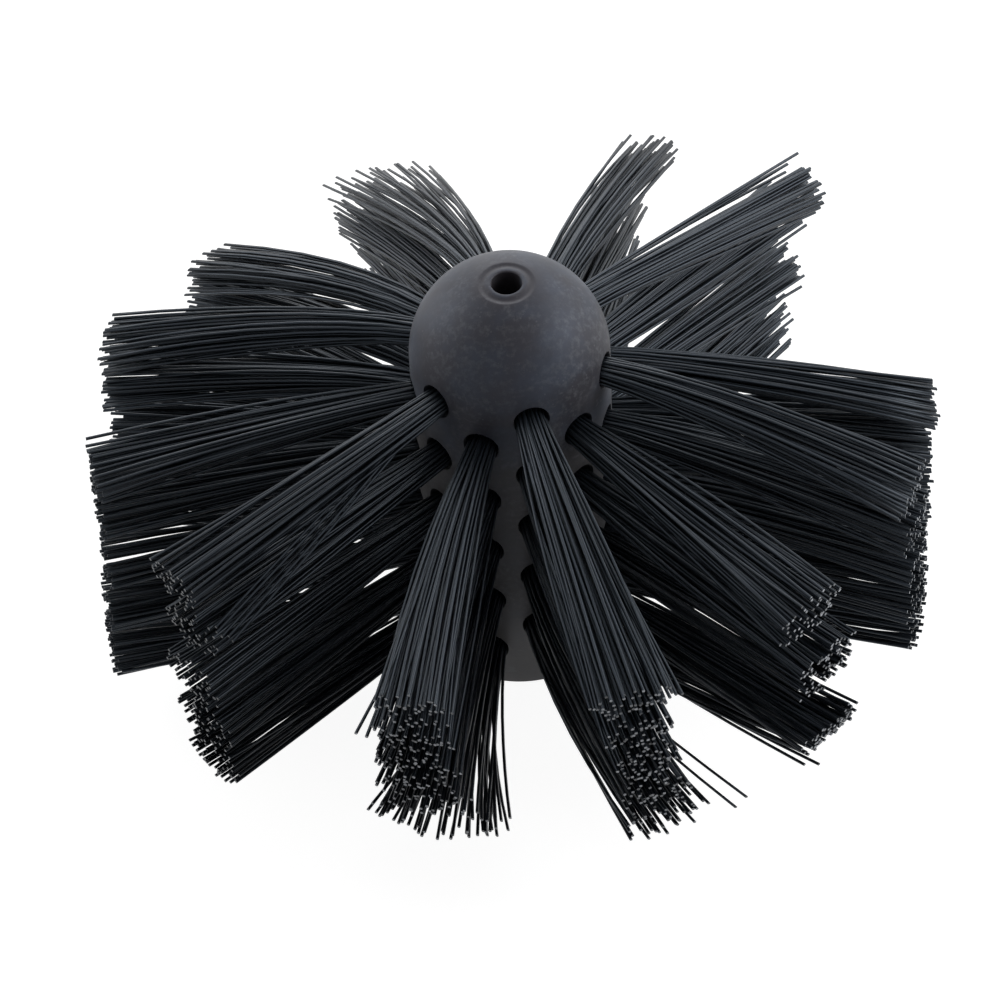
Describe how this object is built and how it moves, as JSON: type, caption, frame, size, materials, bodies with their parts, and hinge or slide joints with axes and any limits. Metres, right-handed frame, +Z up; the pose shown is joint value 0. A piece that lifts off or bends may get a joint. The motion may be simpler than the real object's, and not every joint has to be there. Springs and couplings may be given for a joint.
{
  "type": "chimney sweep brush head",
  "caption": "Domed plastic hub drilled all round for staggered tufts of stiff black nylon filament, with a threaded rod socket in its flat foot, for sweeping round flues.",
  "frame": {"origin": "middle of the hub's flat foot, which is the bottom centre of the whole part", "axes": "+Z up along the hub's axis to its dome; a high column of tufts faces -Y"},
  "size_m": [0.1957, 0.1953, 0.1131],
  "materials": {
    "hub_plastic": "turned charcoal plastic, matt and lightly scuffed",
    "nylon_filament": "black extruded nylon filament, satin sides and pale cut ends",
    "insert_brass": "turned brass, threaded inside"
  },
  "bodies": {
    "root": {"hub": "hub_plastic", "threaded_insert": "insert_brass", "tuft_c01_t1": "nylon_filament", "tuft_c01_t2": "nylon_filament", "tuft_c01_t3": "nylon_filament", "tuft_c01_t4": "nylon_filament", "tuft_c01_t5": "nylon_filament", "tuft_c02_t1": "nylon_filament", "tuft_c02_t2": "nylon_filament", "tuft_c02_t3": "nylon_filament", "tuft_c02_t4": "nylon_filament", "tuft_c02_t5": "nylon_filament", "tuft_c03_t1": "nylon_filament", "tuft_c03_t2": "nylon_filament", "tuft_c03_t3": "nylon_filament", "tuft_c03_t4": "nylon_filament", "tuft_c03_t5": "nylon_filament", "tuft_c04_t1": "nylon_filament", "tuft_c04_t2": "nylon_filament", "tuft_c04_t3": "nylon_filament", "tuft_c04_t4": "nylon_filament", "tuft_c05_t1": "nylon_filament", "tuft_c05_t2": "nylon_filament", "tuft_c05_t3": "nylon_filament", "tuft_c05_t4": "nylon_filament", "tuft_c05_t5": "nylon_filament", "tuft_c06_t1": "nylon_filament", "tuft_c06_t2": "nylon_filament", "tuft_c06_t3": "nylon_filament", "tuft_c06_t4": "nylon_filament", "tuft_c06_t5": "nylon_filament", "tuft_c07_t1": "nylon_filament", "tuft_c07_t2": "nylon_filament", "tuft_c07_t3": "nylon_filament", "tuft_c07_t4": "nylon_filament", "tuft_c07_t5": "nylon_filament", "tuft_c08_t1": "nylon_filament", "tuft_c08_t2": "nylon_filament", "tuft_c08_t3": "nylon_filament", "tuft_c08_t4": "nylon_filament", "tuft_c08_t5": "nylon_filament", "tuft_c09_t1": "nylon_filament", "tuft_c09_t2": "nylon_filament", "tuft_c09_t3": "nylon_filament", "tuft_c09_t4": "nylon_filament", "tuft_c09_t5": "nylon_filament", "tuft_c10_t1": "nylon_filament", "tuft_c10_t2": "nylon_filament", "tuft_c10_t3": "nylon_filament", "tuft_c10_t4": "nylon_filament", "tuft_c11_t1": "nylon_filament", "tuft_c11_t2": "nylon_filament", "tuft_c11_t3": "nylon_filament", "tuft_c11_t4": "nylon_filament", "tuft_c11_t5": "nylon_filament", "tuft_c12_t1": "nylon_filament", "tuft_c12_t2": "nylon_filament", "tuft_c12_t3": "nylon_filament", "tuft_c12_t4": "nylon_filament", "tuft_c12_t5": "nylon_filament"}
  },
  "joints": []
}
